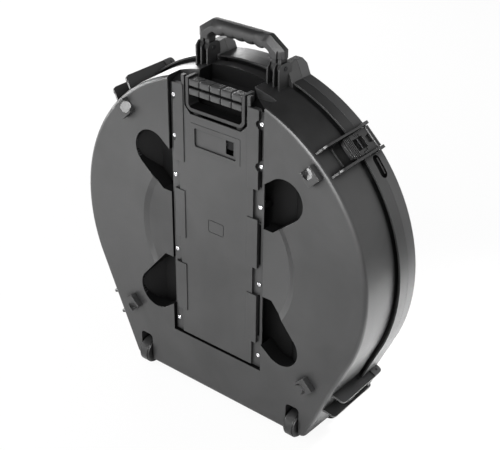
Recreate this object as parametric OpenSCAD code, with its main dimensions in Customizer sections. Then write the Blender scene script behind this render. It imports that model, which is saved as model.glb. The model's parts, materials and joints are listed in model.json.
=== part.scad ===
// Upright cymbal case: moulded D-shaped shell with a pull handle, wheels, a carry handle and a lift-off lid.
// X runs to the right across the face, Y runs from the face to the lid, Z runs up.

/* [Cymbals and outline] */
// Radius of the largest cymbals that go in
cymbal_r = 305; // [300:1:308]
// Gap between the cymbals and the wall
cymbal_room = 10; // [8:1:12]
// Thickness of the moulded walls
wall = 5; // [4:0.5:6]
// Height of the drum's centre above the flat bottom edge
centre_h = 332; // [326:1:338]
// Angle by which the straight sides lean in towards the bottom, degrees
side_lean = 23.4; // [21:0.2:26]
// Radius of the two bottom corners at the face
corner_r = 14; // [13:0.5:18]
// Radius of the face's rounded edge
edge_r = 7; // [4:0.5:9]

/* [Depths] */
// Depth of the base, from the face to the parting line
base_d = 113; // [108:1:120]
// Depth of the lid
lid_d = 51.7; // [46:0.1:58]
// Gap between the base's rim and the lid
rim_gap = 0.3; // [0.2:0.1:0.6]
// Depth of the shallow dish in the face
dish_d = 3; // [2:0.5:4]
// Radius of the dish
dish_r = 178; // [172:1:184]

/* [Rim] */
// How far the rim stands out beyond the side wall at the face
rim_out = 10.5; // [9:0.5:13]
// Thickness of the rim's skirt
skirt_t = 3.5; // [3:0.5:4]
// Length of the base's skirt along the depth
skirt_l = 25; // [22:1:28]
// Thickness of the rim's web
web_t = 8; // [6:0.5:10]
// Depth of the groove behind the skirt
groove_d = 5; // [4:0.5:6]
// Outward draft of the side wall over its depth
draft = 2; // [1:0.5:3]
// Width of the lid's rim band
lid_band_l = 23.7; // [20:0.1:26]

/* [Handle channel] */
// Width of the channel for the pull handle
channel_w = 213; // [208:1:218]
// Depth of the channel
channel_d = 33; // [31:0.5:35]
// Distance of the channel's bottom below the drum's centre
channel_low = 225; // [222:1:230]
// Width of the finger scoop behind the grip
scoop_w = 120; // [110:2:124]
// Depth of the finger scoop
scoop_d = 65; // [55:1:66]
// Radius of the pockets' round ends
pocket_r = 39.5; // [36:0.5:42]
// Distance of the pockets' round ends from the centre lines
pocket_c = 150.5; // [146:0.5:154]

/* [Housing] */
// Depth of the housing's screw flange below the face
flange_y = 6; // [5:0.5:7]
// Thickness of the housing's walls
housing_t = 3; // [2.5:0.5:3.5]
// Gap between the housing and the channel's sides
housing_gap = 2; // [1.5:0.25:2.5]
// Distance of the raised side pads from the housing's edge
pad_in = 9.5; // [9:0.25:11]
// Distance of the step beside the screws from the housing's edge
core_in = 20.5; // [19:0.5:22]
// Distance of the pads' inner edge from the housing's edge
field_in = 32.5; // [31:0.5:34]
// Distance of the housing screws from its edge
screw_in = 7; // [6.5:0.25:8]
// Height of the side pads above the middle field
band_h = 1.5; // [1:0.25:2]

/* [Pull handle] */
// Half width of the pull handle's frame
pull_hw = 65; // [63:0.5:66]
// Width of the frame's band
pull_band = 6; // [5.5:0.5:8]
// Depth of the frame
pull_d = 26; // [24:0.5:27]
// Height of the frame's lower edge above the drum's centre
pull_low = 255; // [252:1:258]
// Height of the frame's top above the drum's centre
pull_top = 316; // [312:1:317]
// Gap round the frame in the housing
pull_gap = 4.5; // [4:0.5:6]
// Radius of the sliding tubes
tube_r = 6; // [5.5:0.25:6.25]
// Wall of the sliding tubes
tube_wall = 1.5; // [1:0.25:2]
// Distance of the tubes from the middle
tube_x = 48; // [44:1:50]
// Outer radius of the guide tubes
guide_r = 8; // [7.75:0.25:8.25]
// Radial clearance of the running fits
run_fit = 0.05; // [0.02:0.01:0.08]
// Length of the grip's pads along the depth
grip_d = 21; // [18:0.5:23]
// Height of one row of grip pads
pad_h = 11.7; // [10:0.1:12]
// Gap between the two rows of pads
pad_gap = 4.6; // [3:0.1:6]

/* [Carry handle] */
// Thickness of the carry handle along the depth
carry_d = 28; // [26:1:28]
// Width of the carry handle's section
carry_w = 27; // [25:1:28]
// Distance of the handle's legs from the middle
carry_x = 79; // [77:1:81]
// Distance of the handle's pivot from the parting line
carry_back = 38; // [37:0.5:40]
// Height of the pivot above the drum's centre
pivot_z = 347; // [346:0.5:348]
// Height of the handle's top above the drum's centre
carry_top = 401; // [396:1:408]
// Radius of the handle's pins
pin_r = 4; // [3:0.25:4.5]

/* [Latches] */
// Angle of the upper latches above the horizontal, degrees
latch_a = 46.7; // [45:0.5:48]
// Distance of the lower latches from the start of the straight side
latch_down = 110; // [100:2:130]
// Half width of the latch plates
latch_hw = 20; // [18:0.5:20.5]
// Gap between the latch parts and the cheeks
cheek_gap = 1; // [0.8:0.1:1.5]
// Thickness of the cheeks
cheek_t = 4; // [3:0.5:5]
// Height of the cheeks' outer edge above the side wall
cheek_out = 24.5; // [23.5:0.5:26]
// Radius of the hinge pin of a latch plate
plate_pin_r = 2.5; // [2:0.25:3]
// Radius of the pin of a lever
lever_pin_r = 2; // [1.5:0.25:2.5]
// Radius of the catch bars
bar_r = 3; // [2.5:0.25:3.5]

/* [Wheels] */
// Radius of the wheels
wheel_r = 27; // [25:0.5:28]
// Width of the wheels
wheel_w = 24; // [22:1:26]
// Distance of the wheels from the middle
wheel_x = 183; // [180:1:184]
// Distance of the wheel axles from the face
wheel_y = 14; // [12:1:16]
// Radius of the wheel axles
axle_r = 4; // [3:0.25:5]

/* [Inside] */
// Thickness of the padding on the base
pad_t = 10; // [8:1:12]
// Thickness of the padding in the lid
lid_pad_t = 10; // [8:1:12]
// Radius of the centre post
post_r = 6; // [5:0.25:7]
// Length of the centre post beyond the foot's seat
post_l = 102; // [90:1:104]
// Radius of the felt washers
felt_r = 30; // [25:1:34]
// Thickness of a felt washer
felt_t = 5; // [4:0.5:6]

/* [Hidden] */
$fn = 96;
sides = [-1, 1];
gap = 0.3;
eps = 1;

// Outline: offsets are measured outward from the side wall at the face
cavity_o = -(wall + groove_d);
body_r = cymbal_r + cymbal_room - cavity_o;
neck_o = -groove_d;
skirt_o = rim_out - skirt_t;
skirt_y = base_d - skirt_l;
groove_y = skirt_y - 4;
web_y = base_d - web_t;
floor_z = -(centre_h + rim_out);
edge_curve = [[-1, 0], [-0.643, 0.086], [-0.286, 0.286], [-0.086, 0.643], [0, 1]];
lid_y = base_d + rim_gap;
case_back = lid_y + lid_d;
lid_band_y = lid_y + lid_band_l;
far = 500;
seam_in = 0.3;
inlay_a = 38.3;
inlay_d = 6;
inlay_l = 25;
inlay_r = 8.5;

// Lid crown: its own outline, smaller than the wall's
crown_in = 25;
crown_o = crown_in + neck_o;
crown_r = body_r - crown_in;
crown_h = centre_h - crown_in;
crown_shoulder = 20;

// Wheels stand on the same floor as the rim
wheel_z = floor_z + wheel_r;
wheel_room = 3;
wheel_front = wheel_y - wheel_r;
well_w = wheel_w + 2 * wheel_room;
well_back = wheel_y + wheel_r + 4;
well_roof = wheel_z + wheel_r + 19;
well_round = 8;
tip_w = 20.5;
hub_r = 17;

// The model stands on the floor, centred under its own depth
foot_h = 12;
foot_x = [208, 212];
foot_z = [219, 205];
face_front = min(wheel_front, -foot_h);
mid_y = (face_front + case_back) / 2;

// Handle channel and what lies in it
housing_hw = channel_w / 2 - housing_gap;
band_hw = housing_hw - pad_in;
core_hw = housing_hw - core_in;
field_hw = housing_hw - field_in;
screw_x = housing_hw - screw_in;
screw_z = [273, 195, 117, -40, -196];
screw_r = 2;
screw_head_r = 4.5;
screw_head_t = 2.6;
screw_end = 28;
screw_hole = screw_r + 0.25;
boss_r = 6;
boss_y = flange_y + housing_t;
field_y = band_h;
under_y = field_y + housing_t;
tube_y = under_y + guide_r + 0.5;
guide_bore = tube_r + 0.6;
clamp_hw = tube_x + guide_r + 6;
clamp_y = flange_y;
bush_r = guide_r;
bush_l = 12;
socket_r = tube_r + 2;
socket_l = 20;
socket_in = 15;
bush_z = pull_low - socket_l - 2 - bush_l;
top_clamp_l = 16;
bottom_clamp_z = -channel_low + 10;
bottom_clamp_l = 18;
guide_low = bottom_clamp_z + 2;
glide_l = 12;
glide_low = guide_low + 5;
tube_low = glide_low + glide_l;
tube_high = pull_low - socket_l + socket_in;
clamp_screw_x = 20;
opening_hw = pull_hw + pull_gap;
opening_low = pull_low - pull_gap - 2;
opening_cut = 13;
housing_low = -(channel_low - 2);
housing_top = 317;
ear_top = 299;
ear_in = opening_hw + 6.5;
shelf_in = pull_hw + 2;
groove_out = band_hw + 4;
groove_spans = [[-153, -63], [0, 82], [155, 186], [206, 262]];
band_spans = [[151, ear_top], [-6, 93], [-167, -63]];
pilot_z = [87, -69];
pilot_r = 1.5;
label_border = [[-55, 183], [55, 233]];
label_field = [[-47, 190], [46, 225]];
label_tab = [[22, 196], [39, 222]];
badge_place = [[-17.5, 28.5], [18.5, 54]];
badge_line = 1.3;

// Carry handle: centre line of a section that runs up, slants in and runs across
carry_y = base_d - carry_back;
bevel_z = 380;
bevel_x = 62;
leg_out = carry_x + carry_w / 2;
bevel_a = atan2(carry_top - bevel_z, leg_out - bevel_x);
carry_round = 9;
carry_curve = [for (a = [0:30:90]) [carry_round * (1 - cos(a)), carry_round * (1 - sin(a))]];
flare_curve = [for (a = [0:45:90]) [carry_round * (1 - cos(a)), carry_round * (1 - sin(a))]];
lobe_n = 5;
lobe_w = 21;
lobe_h = 4;
leg_groove = 2;
leg_groove_x = 82;
leg_slot = 5;
fin_t = 3;
fin_x = [carry_x - 13.5, carry_x, carry_x + 11];
knuckle_r = 11;
fin_reach = 17;
fin_low = 36;
fin_top = 10;
lug_top = body_r + 25;
lug_low = body_r - 22;
shoulder_z = pivot_z + 18;

// Latches: seen along the rim, with Y across the parting line and r outward
cheek_r = body_r + cheek_out;
plate_pin_y = base_d + 14;
plate_pin_rad = cheek_r - 8.5;
lever_pin_y = base_d - 20;
lever_pin_rad = plate_pin_rad - 1;
bar_y = lever_pin_y - 13;
bar_rad = lever_pin_rad - 9;
lever_end = lever_pin_y - 39.5;
lever_hw = latch_hw - 0.5;
lever_arm_in = 10.5;
lever_arm_out = 14.7;
lever_window = lever_pin_y - 18;
plate_window = lever_pin_y + 11;
knuckle_w = latch_hw - lever_arm_out - gap;
recess_y = [44, groove_y + eps];
recess_r = body_r + neck_o + 1;
notch_r = body_r + 3;
cheek_in = latch_hw + cheek_gap;
lid_ear_in = cheek_in + 0.6;
lid_ear_t = 5.4;
latches = [[latch_a, 0], [180 - latch_a, 0], [-side_lean, latch_down], [180 + side_lean, -latch_down]];

// Cymbal post
seat_y = channel_d + wall;
foot_t = 5;
post_seat = scoop_d + wall + 2;
post_low = seat_y + 2;
post_high = seat_y + post_l;
knob_y = post_seat + 2 * felt_t + gap;
flange_screw_c = 30;
pad_hole_r = 46;

// Places of children in the case's frame
module in_place() { translate([0, -mid_y, -floor_z]) children(); }
module y_extrude(y0, h) { translate([0, y0 + h, 0]) rotate([90, 0, 0]) linear_extrude(h) children(); }
module y_revolve() { rotate([-90, 0, 0]) rotate_extrude() children(); }
module x_extrude(x0, w) { translate([x0, 0, 0]) rotate([90, 0, 90]) linear_extrude(w) children(); }
module y_rod(r, y0, h) { translate([0, y0, 0]) rotate([-90, 0, 0]) cylinder(r = r, h = h); }
module x_rod(r, x0, w) { translate([x0, 0, 0]) rotate([0, 90, 0]) cylinder(r = r, h = w); }
module both() { for (s = [0, 1]) mirror([s, 0, 0]) children(); }
module box(lo, hi) { translate(lo) cube(hi - lo); }
module at_latch(i) { rotate([0, 90 - latches[i][0], 0]) translate([latches[i][1], 0, 0]) children(); }
function arc(c, r, a0, a1, n) = [for (i = [0:n]) let (a = a0 + (a1 - a0) * i / n)
    [c[0] + r * cos(a), c[1] + r * sin(a)]];

// Solid of the D outline: a drum, two corner rounds and a block between them, cut back by the planes of
// the two leaning sides and of the flat bottom. Each plane lies a hair inside the rounds, and crosses them.
// profile lists [offset from the wall, depth], and closes towards the middle.
module d_solid(r, h, rc, profile) {
    cz = rc - h;
    cx = (r - rc + cz * sin(side_lean)) / cos(side_lean);
    side = sqrt(cx * cx + cz * cz - (r - rc) * (r - rc));
    first = profile[0];
    last = profile[len(profile) - 1];
    wide = max([for (p = profile) p[0]]);
    edge = wide - seam_in;
    reach = wide + 60;
    out = [cos(side_lean), -sin(side_lean)];
    half = [(r + edge) * out, [cx, cz] + (rc + edge) * out, [cx, cz], [cx, -h - edge]];
    module section(base) {
        polygon(concat([[0, first[1]]], [for (p = profile) [base + p[0], p[1]]], [[0, last[1]]]));
    }
    module waste(base) {
        polygon(concat([[base + reach, first[1] - 5], [base + first[0], first[1] - 5]],
            [for (p = profile) [base + p[0], p[1]]],
            [[base + last[0], last[1] + 5], [base + reach, last[1] + 5]]));
    }
    difference() {
        union() {
            y_revolve() section(r);
            both() translate([cx, 0, cz]) y_revolve() section(rc);
            y_extrude(first[1], last[1] - first[1])
                polygon(concat([[0, 0]], half, [for (i = [3:-1:0]) [-half[i][0], half[i][1]]]));
        }
        both() rotate([0, side_lean, 0]) translate([0, 0, -side - 3]) linear_extrude(side + 40)
            waste(r - seam_in);
        translate([-cx - 3, 0, 0]) rotate([0, 90, 0]) linear_extrude(2 * cx + 6) waste(h - seam_in);
    }
}
module wall_solid(profile) { d_solid(body_r, centre_h, corner_r, profile); }
module crown_solid(profile) { d_solid(crown_r, crown_h, corner_r, profile); }

// Hollows of the face. g grows each of them by the wall that stands behind it.
module channel_space(g) {
    box([-channel_w / 2 - g, -far, -channel_low - g], [channel_w / 2 + g, channel_d + g, far]);
}
module scoop_space(g) {
    x_extrude(-scoop_w / 2 - g, scoop_w + 2 * g)
        polygon([[0, pull_low - g], [channel_d, pull_low - g], [scoop_d + g, pull_low + 40 - g],
            [scoop_d + g, far], [0, far]]);
}
module pocket_plan(g, tip) {
    c = pocket_c;
    r = pocket_r + g;
    translate([c, c]) circle(r);
    polygon([[channel_w / 2 - 10, tip - g], [channel_w / 2 + tip_w + g / 2, tip - g],
        [c + 0.67 * r, c - 0.74 * r], [c, c], [c - 0.69 * r, c + 0.72 * r],
            [channel_w / 2 - 4, c + 12.5 + g], [channel_w / 2 - 10, c + g]]);
}
module pocket_space(g, tip) {
    rim_x = pocket_c + pocket_r + g;
    intersection() {
        y_extrude(-eps, channel_d + g + eps) pocket_plan(g, tip);
        linear_extrude(far) polygon([[0, -eps], [rim_x + eps, -eps], [rim_x + eps, 5 + g], [rim_x, 5 + g],
            [pocket_c + 4, channel_d + g], [0, channel_d + g]]);
    }
}
module pockets(g) {
    both() {
        pocket_space(g, 79);
        mirror([0, 0, 1]) pocket_space(g, 61);
    }
}
module well_space(g) {
    r = well_round;
    both() translate([wheel_x - well_w / 2 - g, 0, 0]) y_extrude(-far, well_back + g + far) union() {
        translate([0, -far]) square([well_w + 2 * g, well_roof + g - r + far]);
        translate([r, -far]) square([well_w + 2 * g - 2 * r, well_roof + g + far]);
        for (x = [r, well_w + 2 * g - r]) translate([x, well_roof + g - r]) circle(r);
    }
}
module dish_space(g) {
    y_revolve() polygon([[0, -far], [dish_r + g, -far], [dish_r + g, 0], [dish_r - 12 + g, dish_d + g],
        [0, dish_d + g]]);
}

// Base
module side_wall() {
    wall_solid(concat([for (p = edge_curve) edge_r * p], [[draft, groove_y]]));
    wall_solid([[neck_o, groove_y - eps], [neck_o, base_d]]);
    difference() {
        wall_solid([[rim_out, skirt_y], [rim_out, base_d]]);
        wall_solid([[skirt_o, skirt_y - 8], [skirt_o, web_y]]);
    }
}
module latch_notch() {
    for (i = [0:3]) at_latch(i)
        box([-cheek_in, groove_y, notch_r], [cheek_in, lid_band_y + eps, cheek_r + eps]);
}
module cheeks() {
    root = body_r + neck_o;
    for (i = [0:3]) at_latch(i) both() x_extrude(cheek_in, cheek_t)
        polygon(concat([[8, root], [8, body_r], [11.4, cheek_r - 12]],
            arc([21, cheek_r - 10], 10, 165, 90, 5), [[base_d - 0.4, cheek_r], [base_d - 0.4, root]]));
    for (i = [0:3]) at_latch(i) box([3 - cheek_in, recess_y[0] - 3.5, root + 1],
        [cheek_in - 3, recess_y[0] - 0.5, body_r + 4]);
}
module latch_recess() {
    for (i = [0:3]) at_latch(i) box([-cheek_in, recess_y[0], recess_r], [cheek_in, recess_y[1], cheek_r]);
}
module brackets() {
    for (s = [0, 1]) mirror([s, 0, 0]) for (x = fin_x) x_extrude(x - fin_t / 2, fin_t)
        translate([carry_y, pivot_z]) polygon([[-fin_reach, -fin_low], [-fin_reach, 2], [-10, fin_top],
            [11, fin_top], [fin_reach, 3], [fin_reach, -fin_low]]);
}
module lug(y0, y1, bevel) {
    both() difference() {
        translate([carry_x, 0, 0]) y_extrude(y0, y1 - y0)
            polygon([[-22, lug_low], [22, lug_low], [20, body_r - 5], [7, lug_top], [-7, lug_top],
                [-20, body_r - 5]]);
        x_extrude(0, far) polygon(bevel);
    }
}
module face_feet() {
    for (low = [0, 1]) mirror([0, 0, low]) both()
        translate([foot_x[low], 0, foot_z[low]]) rotate([0, -45, 0]) difference() {
            box([-14, -foot_h, -14], [14, eps, 14]);
            translate([0, -7, 5]) rotate([60, 0, 0]) cylinder(r = 11, h = 30);
        }
}
module rim_inlay(y_at) {
    both() rotate([0, 90 - inlay_a, 0]) translate([0, y_at, body_r + rim_out - inlay_d])
        linear_extrude(2 * inlay_d) union() {
            square([inlay_l, 2 * inlay_r], center = true);
            for (x = [-inlay_l / 2, inlay_l / 2]) translate([x, 0]) circle(inlay_r);
        }
}
module gasket_groove() {
    difference() {
        wall_solid([[-1.5, base_d - 3], [-1.5, base_d + eps]]);
        wall_solid([[-6.5, base_d - 3 - eps], [-6.5, base_d + 2 * eps]]);
    }
}
module base_shell() {
    color("#5c5c5e") difference() {
        union() {
            difference() {
                union() {
                    side_wall();
                    cheeks();
                    brackets();
                    lug(groove_y + 0.4, base_d - 0.2, [[groove_y - 9, lug_top - 24],
                        [groove_y + 10, lug_top + 1.3], [groove_y + 10, far], [groove_y - 9, far]]);
                }
                difference() {
                    wall_solid([[cavity_o, wall], [cavity_o, base_d + eps]]);
                    channel_space(wall);
                    scoop_space(wall);
                    pockets(wall);
                    well_space(wall);
                    dish_space(wall);
                }
                channel_space(0);
                scoop_space(0);
                pockets(0);
                well_space(0);
                dish_space(0);
                latch_notch();
                latch_recess();
                rim_inlay(base_d + rim_gap / 2);
                gasket_groove();
            }
            face_feet();
            both() for (z = screw_z) translate([screw_x, 0, z])
                y_rod(boss_r, boss_y, channel_d - boss_y + eps);
            both() x_extrude(shelf_in, channel_w / 2 + eps - shelf_in)
                polygon([[boss_y + gap, ear_top - 17], [boss_y + gap, ear_top - 7],
                    [channel_d + eps, ear_top + 4], [channel_d + eps, ear_top - 17]]);
            for (x = [-30:15:30])
                box([x - 1, channel_d - 3, pull_low - 20], [x + 1, channel_d + eps, pull_low + 2]);
        }
        both() for (z = screw_z) translate([screw_x, 0, z]) y_rod(screw_r, 0, screw_end);
        both() for (z = [top_clamp_z(), bottom_clamp_z + bottom_clamp_l / 2])
            translate([clamp_screw_x, 0, z]) y_rod(screw_r, 0, seat_y - 1);
        for (a = [45:90:315]) rotate([0, a, 0]) translate([flange_screw_c, 0, 0])
            y_rod(screw_r, channel_d + 1, 2 * wall);
        both() translate([carry_x, carry_y, pivot_z]) x_rod(pin_r, -far / 10, far / 5);
        both() translate([wheel_x, wheel_y, wheel_z]) x_rod(axle_r, -well_w / 2 - wall, well_w + 2 * wall);
        for (i = [0:3]) at_latch(i) translate([0, bar_y, bar_rad])
            x_rod(bar_r, -cheek_in - cheek_t, 2 * cheek_in + 2 * cheek_t);
    }
}

// Housing over the channel
module side_pads(inset, inner) {
    for (s = [0, 1]) mirror([s, 0]) for (z = band_spans) translate([inner, z[0] + inset])
        square([band_hw - inner - inset, z[1] - z[0] - 2 * inset]);
}
module screw_pockets(inset) {
    for (s = [0, 1]) mirror([s, 0]) for (z = screw_z) translate([screw_x, z]) circle(8.5 + inset);
}
module raised_plan(inset) {
    difference() {
        union() {
            translate([-core_hw + inset, housing_low + 3 + inset])
                square([2 * core_hw - 2 * inset, housing_top - housing_low - 3 - 2 * inset]);
            side_pads(inset, 0);
        }
        screw_pockets(inset);
    }
}
module rounded(place, r, inset) {
    lo = [place[0][0] + inset, place[0][1] + inset];
    hi = [place[1][0] - inset, place[1][1] - inset];
    translate([lo[0] + r, lo[1]]) square([hi[0] - lo[0] - 2 * r, hi[1] - lo[1]]);
    translate([lo[0], lo[1] + r]) square([hi[0] - lo[0], hi[1] - lo[1] - 2 * r]);
    for (x = [lo[0] + r, hi[0] - r]) for (z = [lo[1] + r, hi[1] - r]) translate([x, z]) circle(r);
}
module handle_housing() {
    border_y = field_y - 0.6;
    color("#636365") difference() {
        union() {
            y_extrude(flange_y, housing_t) translate([-housing_hw, housing_low])
                square([2 * housing_hw, housing_top - housing_low]);
            y_extrude(field_y, flange_y - field_y + housing_t / 2) raised_plan(0);
            y_extrude(0, flange_y) difference() {
                side_pads(0, field_hw);
                screw_pockets(0);
            }
            y_extrude(border_y, housing_t) translate(label_border[0])
                square(label_border[1] - label_border[0]);
        }
        y_extrude(under_y, far) raised_plan(housing_t);
        y_extrude(-eps, field_y + 2.2 + eps) rounded(label_field, 3, 0);
        y_extrude(-eps, far) rounded(label_tab, 1.5, 0);
        y_extrude(-eps, field_y + 0.7 + eps) difference() {
            rounded(badge_place, 4, 0);
            rounded(badge_place, 4 - badge_line, badge_line);
        }
        y_extrude(-far, 2 * far) polygon([[-opening_hw, far], [-opening_hw, opening_low + opening_cut],
            [opening_cut - opening_hw, opening_low], [opening_hw - opening_cut, opening_low],
            [opening_hw, opening_low + opening_cut], [opening_hw, far]]);
        both() y_extrude(-eps, far) polygon([[ear_in, far], [ear_in, ear_top], [band_hw - 2, ear_top],
            [band_hw + 2, ear_top - 4.5], [channel_w, ear_top - 4.5], [channel_w, far]]);
        both() for (z = groove_spans) box([band_hw, -eps, z[0]], [groove_out, far, z[1]]);
        both() for (z = screw_z) translate([screw_x, 0, z]) y_rod(screw_hole, -eps, channel_d);
        both() for (z = pilot_z) translate([screw_x, 0, z]) y_rod(pilot_r, -eps, channel_d);
    }
}
module housing_screws() {
    color("#c8c8cc") both() for (z = screw_z) translate([screw_x, 0, z]) difference() {
        union() {
            y_rod(screw_head_r, flange_y - screw_head_t, screw_head_t);
            y_rod(screw_r, flange_y - eps, screw_end - flange_y);
        }
        y_rod(1.2, flange_y - screw_head_t - eps, 2.2);
    }
}

// Guides of the pull handle
function top_clamp_z() = bush_z - top_clamp_l / 2;
module guide_tube(s) {
    color("#9a9a9e") translate([s * tube_x, tube_y, guide_low]) difference() {
        cylinder(r = guide_r, h = bush_z - guide_low);
        translate([0, 0, -eps]) cylinder(r = guide_bore, h = far * 2);
    }
}
module guide_bush(s) {
    color("#2a2a2c") translate([s * tube_x, tube_y, bush_z]) difference() {
        cylinder(r = bush_r, h = bush_l);
        translate([0, 0, -eps]) cylinder(r = tube_r + run_fit, h = bush_l + 2 * eps);
    }
}
module clamp(z0, l, holes) {
    color("#38383a") difference() {
        box([-clamp_hw, clamp_y, z0], [clamp_hw, channel_d, z0 + l]);
        for (s = sides) translate([s * tube_x, tube_y, holes]) {
            cylinder(r = guide_r, h = far);
            box([1.5 - guide_r, -far, 0], [guide_r - 1.5, 0, far]);
        }
        for (s = sides) translate([s * clamp_screw_x, 0, z0 + l / 2]) y_rod(screw_hole, 0, far);
    }
}
module guide_top_clamp() { clamp(bush_z - top_clamp_l, top_clamp_l, bush_z - top_clamp_l - eps); }
module guide_bottom_clamp() { clamp(bottom_clamp_z, bottom_clamp_l, guide_low); }
module clamp_screws() {
    color("#b8b8bc") for (s = sides) for (z = [top_clamp_z(), bottom_clamp_z + bottom_clamp_l / 2])
        translate([s * clamp_screw_x, 0, z]) {
            y_rod(screw_r, clamp_y - 0.5, seat_y - 0.5 - clamp_y);
            y_rod(3.6, clamp_y - 1.2, 1.2);
        }
}

// Pull handle
module frame_plan(hw, low, r) {
    translate([-hw + r, low]) square([2 * hw - 2 * r, pull_top - low]);
    translate([-hw, low + r]) square([2 * hw, pull_top - low - r]);
    for (s = sides) translate([s * (hw - r), low + r]) circle(r);
}
module pull_handle_frame() {
    color("#6a6a6c") difference() {
        union() {
            y_extrude(0.5, pull_d - 0.5) difference() {
                frame_plan(pull_hw, pull_low, 14);
                frame_plan(pull_hw - pull_band, pull_low + pull_band, 14 - pull_band);
                translate([-pull_hw + pull_band, pull_top - eps])
                    square([2 * (pull_hw - pull_band), 2 * eps]);
            }
            for (s = sides) translate([s * tube_x, tube_y, pull_low - socket_l])
                cylinder(r = socket_r, h = socket_l + pull_band);
        }
        for (s = sides) translate([s * tube_x, tube_y, pull_low - socket_l - eps])
            cylinder(r = tube_r, h = socket_in + eps);
    }
}
module pull_handle_grip() {
    hw = pull_hw - pull_band;
    rows = 2 * pad_h + pad_gap;
    z0 = pull_top - 3 - rows;
    n = 5;
    pitch = 2 * hw / n;
    color("#8c8c8e") {
        box([-hw, 4, z0 + 2], [hw, grip_d - 3, z0 + rows - 2]);
        for (row = [0, 1]) for (k = [0:n - 1])
            translate([-hw + k * pitch + 0.8, 1, z0 + row * (pad_h + pad_gap)])
                cube([pitch - 1.6, grip_d - 1, pad_h]);
    }
}
module pull_tube(s) {
    color("#b4b4b8") translate([s * tube_x, tube_y, tube_low]) difference() {
        cylinder(r = tube_r, h = tube_high - tube_low);
        translate([0, 0, -eps]) cylinder(r = tube_r - tube_wall, h = far * 2);
    }
}
module tube_glides() {
    color("#2a2a2c") for (s = sides) translate([s * tube_x, tube_y, glide_low]) {
        cylinder(r = guide_bore - run_fit, h = glide_l);
        cylinder(r = tube_r - tube_wall, h = glide_l + 10);
    }
}

// Carry handle
function carry_plan(o, low) = [[-leg_out - o, low], [-leg_out - o, bevel_z + o * tan((90 - bevel_a) / 2)],
    [-bevel_x - o * tan(bevel_a / 2), carry_top + o], [bevel_x + o * tan(bevel_a / 2), carry_top + o],
    [leg_out + o, bevel_z + o * tan((90 - bevel_a) / 2)], [leg_out + o, low]];
function lobed_line() = concat([for (k = [0:lobe_n - 1]) for (t = [-1, -0.8, -0.4, 0, 0.4, 0.8])
    [(k - (lobe_n - 1) / 2 + t / 2) * lobe_w, carry_top - carry_w + lobe_h * (1 - sqrt(1 - t * t))]],
    [[lobe_n * lobe_w / 2, carry_top - carry_w + lobe_h]]);
module carry_hoop() {
    half = carry_d / 2;
    hole = carry_plan(-carry_w, 0);
    thin = 0.01;
    inside = 0.05;
    difference() {
        hull() for (p = carry_curve)
            y_extrude(carry_y - half + p[1], carry_d - 2 * p[1]) polygon(carry_plan(-p[0], shoulder_z));
        y_extrude(0, far) polygon(concat([for (i = [0:2]) hole[i]], lobed_line(), [for (i = [3:5]) hole[i]]));
        for (s = [0, 1]) translate([0, carry_y, 0]) mirror([0, s, 0]) for (k = [0, 1]) {
            near = flare_curve[k];
            off = flare_curve[k + 1];
            hull() {
                y_extrude(half - near[1], thin) polygon(carry_plan(near[0] - carry_w - inside, eps));
                y_extrude(half - off[1], thin) polygon(carry_plan(off[0] - carry_w, eps));
            }
        }
    }
}
module carry_handle() {
    color("#4a4a4c") difference() {
        union() {
            carry_hoop();
            both() for (x = [fin_x[0] + fin_t / 2 + gap, fin_x[1] + fin_t / 2 + gap]) difference() {
                x_extrude(x, fin_x[1] - fin_x[0] - fin_t - 2 * gap) translate([carry_y, pivot_z]) union() {
                    circle(knuckle_r);
                    translate([-9, 0]) square([18, shoulder_z - pivot_z + 4]);
                }
                box([fin_x[2] - fin_t / 2 - gap, 0, 0], [far, far, far]);
            }
        }
        both() translate([0, carry_y, pivot_z]) x_rod(pin_r + run_fit, 0, far);
        both() for (s = [0, 1]) translate([leg_groove_x, carry_y, 0]) mirror([0, s, 0])
            box([-1, carry_d / 2 - leg_groove, 0], [1, far, bevel_z + 7]);
        both() translate([leg_out, carry_y, bevel_z]) rotate([0, -bevel_a, 0])
            box([-leg_slot, -8, 3], [0, -3, 13]);
    }
}
module carry_handle_pins() {
    color("#a8a8ac") both() translate([0, carry_y, pivot_z])
        x_rod(pin_r, fin_x[0] - fin_t / 2 - 1, fin_x[2] - fin_x[0] + fin_t + 2);
}

// Lid
module lid_shell() {
    band = [[rim_out, lid_y], [rim_out, lid_band_y]];
    color("#6e6e70") difference() {
        union() {
            difference() {
                wall_solid(band);
                wall_solid([[skirt_o, lid_y + web_t], [skirt_o, lid_band_y + eps]]);
            }
            crown_solid([[crown_o, lid_y + web_t - eps], [crown_o, case_back - crown_shoulder],
                [0, case_back]]);
            for (i = [0:3]) at_latch(i) both() x_extrude(lid_ear_in, lid_ear_t)
                polygon(concat([[lid_y + 0.4, body_r + neck_o], [lid_y + 0.4, cheek_r]],
                    arc([lid_band_y - 8.4, cheek_r - 8], 8, 90, 0, 5),
                    [[lid_band_y - 0.4, body_r + neck_o]]));
            lug(lid_y + 0.2, lid_band_y - 0.2, [[lid_band_y - 9, lug_top + 1], [lid_band_y + 1, lug_top - 12],
                [lid_band_y + 1, far], [lid_band_y - 9, far]]);
        }
        crown_solid([[crown_o - wall, lid_y - eps], [crown_o - wall, case_back - crown_shoulder - 1],
            [-3, case_back - wall]]);
        for (i = [0:3]) at_latch(i) {
            box([-lid_ear_in, lid_y - eps, notch_r], [lid_ear_in, lid_band_y + eps, cheek_r + eps]);
            translate([0, plate_pin_y, plate_pin_rad])
                x_rod(plate_pin_r, -lid_ear_in - lid_ear_t - eps, 2 * (lid_ear_in + lid_ear_t + eps));
        }
        rim_inlay(base_d + rim_gap / 2);
    }
}
module lid_foam_pad() {
    color("#2e2e30") y_rod(crown_r - 12, case_back - wall - lid_pad_t, lid_pad_t);
}
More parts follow.
